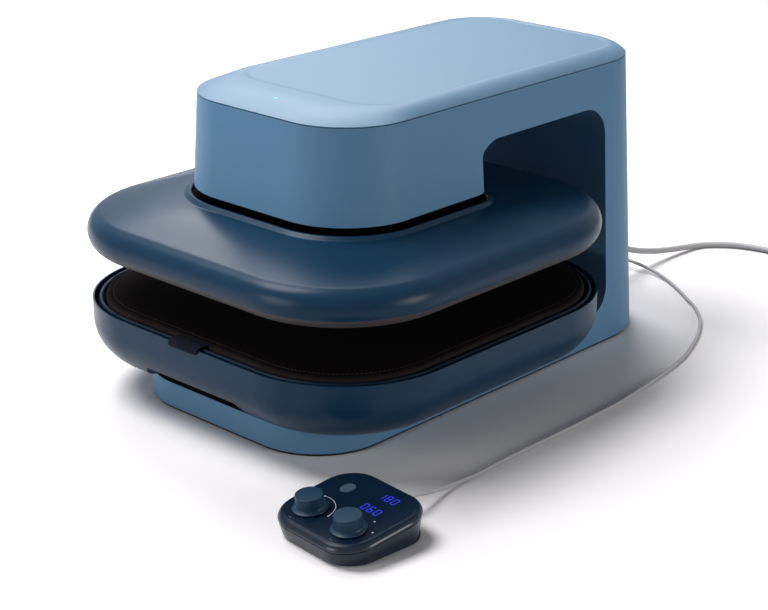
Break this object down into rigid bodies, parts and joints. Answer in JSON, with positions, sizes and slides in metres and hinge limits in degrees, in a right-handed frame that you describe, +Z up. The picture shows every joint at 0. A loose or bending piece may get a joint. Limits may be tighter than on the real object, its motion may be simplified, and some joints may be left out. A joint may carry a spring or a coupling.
{
  "type": "flat heat press",
  "caption": "Flat heat press: a motor in a C-shaped body lowers a heated plate onto a padded tray, and a corded pod with dials sets it.",
  "frame": {"origin": "on the bench, in the middle of the rubber sole's width, 262 mm behind the front of the foot", "axes": "+Z up, -Y towards the front of the press, +X to the right seen from the front"},
  "size_m": [0.501, 0.9835, 0.3014],
  "materials": {
    "sole_rubber": "matte",
    "body_plastic": "satin moulded",
    "lid_plastic": "satin moulded",
    "light_lens": "clear lens",
    "navy_plastic": "fine matte texture",
    "liner_plastic": "fine matte texture",
    "black_plastic": "matte",
    "shield_plastic": "heat-resistant, matte",
    "plate_aluminium": "dark non-stick coating",
    "motor_steel": "plated",
    "frame_steel": "zinc grey",
    "bright_steel": "ground",
    "element_steel": "heat-tinted",
    "nut_brass": "machined",
    "board_green": "solder mask",
    "ceramic_white": "ceramic body",
    "insulation_felt": "pressed fibre felt",
    "pad_foam": "silicone foam",
    "mat_cloth": "close felted cloth",
    "tab_cloth": "woven tape",
    "pod_plastic": "satin moulded",
    "knob_plastic": "satin moulded",
    "window_plastic": "smoked window",
    "cord_grey": "smooth jacket"
  },
  "bodies": {
    "press": {"rubber_sole": "sole_rubber", "bottom_plate": "frame_steel", "body_shell": "body_plastic", "top_cover": "lid_plastic", "status_light": "light_lens", "base_frame": "frame_steel", "column_posts": "frame_steel", "arm_rails": "frame_steel", "rail_bolts": "bright_steel", "drive_plate": "frame_steel", "gearbox": "black_plastic", "lift_motor": "motor_steel", "screw_bearing": "bright_steel", "guide_rods": "bright_steel", "power_board": "board_green", "board_pillars": "nut_brass", "tray": "navy_plastic", "tray_liner": "liner_plastic", "foam_pad": "pad_foam", "pressing_mat": "mat_cloth", "mat_tab": "tab_cloth", "pod_case": "pod_plastic", "pod_base": "black_plastic", "pod_feet": "sole_rubber", "pod_board": "board_green", "encoders": "motor_steel", "button_switch": "black_plastic", "display_window": "window_plastic", "pod_relief": "cord_grey", "control_cord": "cord_grey", "control_plug": "cord_grey", "control_socket": "black_plastic", "mains_relief": "cord_grey", "mains_gland": "black_plastic", "mains_cord": "cord_grey", "mains_coil": "cord_grey", "mains_plug": "cord_grey", "plug_pins": "nut_brass"},
    "platen": {"platen_cover": "navy_plastic", "collar": "black_plastic", "heat_shield": "shield_plastic", "heat_plate": "plate_aluminium", "heating_element": "element_steel", "thermal_cutout": "ceramic_white", "insulation": "insulation_felt", "backing_plate": "frame_steel", "carriage_posts": "bright_steel", "carriage_plate": "frame_steel", "guide_bushes": "nut_brass", "drive_nut": "nut_brass"},
    "screw": {"lead_screw": "bright_steel"},
    "left_dial": {"left_shaft": "bright_steel", "left_knob": "knob_plastic"},
    "right_dial": {"right_shaft": "bright_steel", "right_knob": "knob_plastic"},
    "button": {"pod_button": "knob_plastic"}
  },
  "joints": [
    {"name": "platen_slide", "type": "slide", "parent": "press", "child": "platen", "axis": [0, 0, -1], "range_m": [0, 0.044]},
    {"name": "screw_turn", "type": "hinge", "parent": "press", "child": "screw", "pos_m": [0, -0.10944, 0.22], "axis": [0, 0, 1], "range_deg": [0, 1981]},
    {"name": "left_dial_turn", "type": "hinge", "parent": "press", "child": "left_dial", "pos_m": [0.21188, -0.34491, 0.02279], "axis": [-0.0101, -0.1093, 0.994], "continuous": true},
    {"name": "right_dial_turn", "type": "hinge", "parent": "press", "child": "right_dial", "pos_m": [0.26067, -0.34944, 0.02279], "axis": [-0.0101, -0.1093, 0.994], "continuous": true},
    {"name": "button_press", "type": "slide", "parent": "press", "child": "button", "axis": [0.0101, 0.1093, -0.994], "range_m": [0, 0.001], "stiffness_N_per_m": 1200, "springref_m": -0.0005}
  ],
  "couplings": [
    {"joint": "screw_turn", "follows": "platen_slide", "rad_per_m": 785.4}
  ]
}
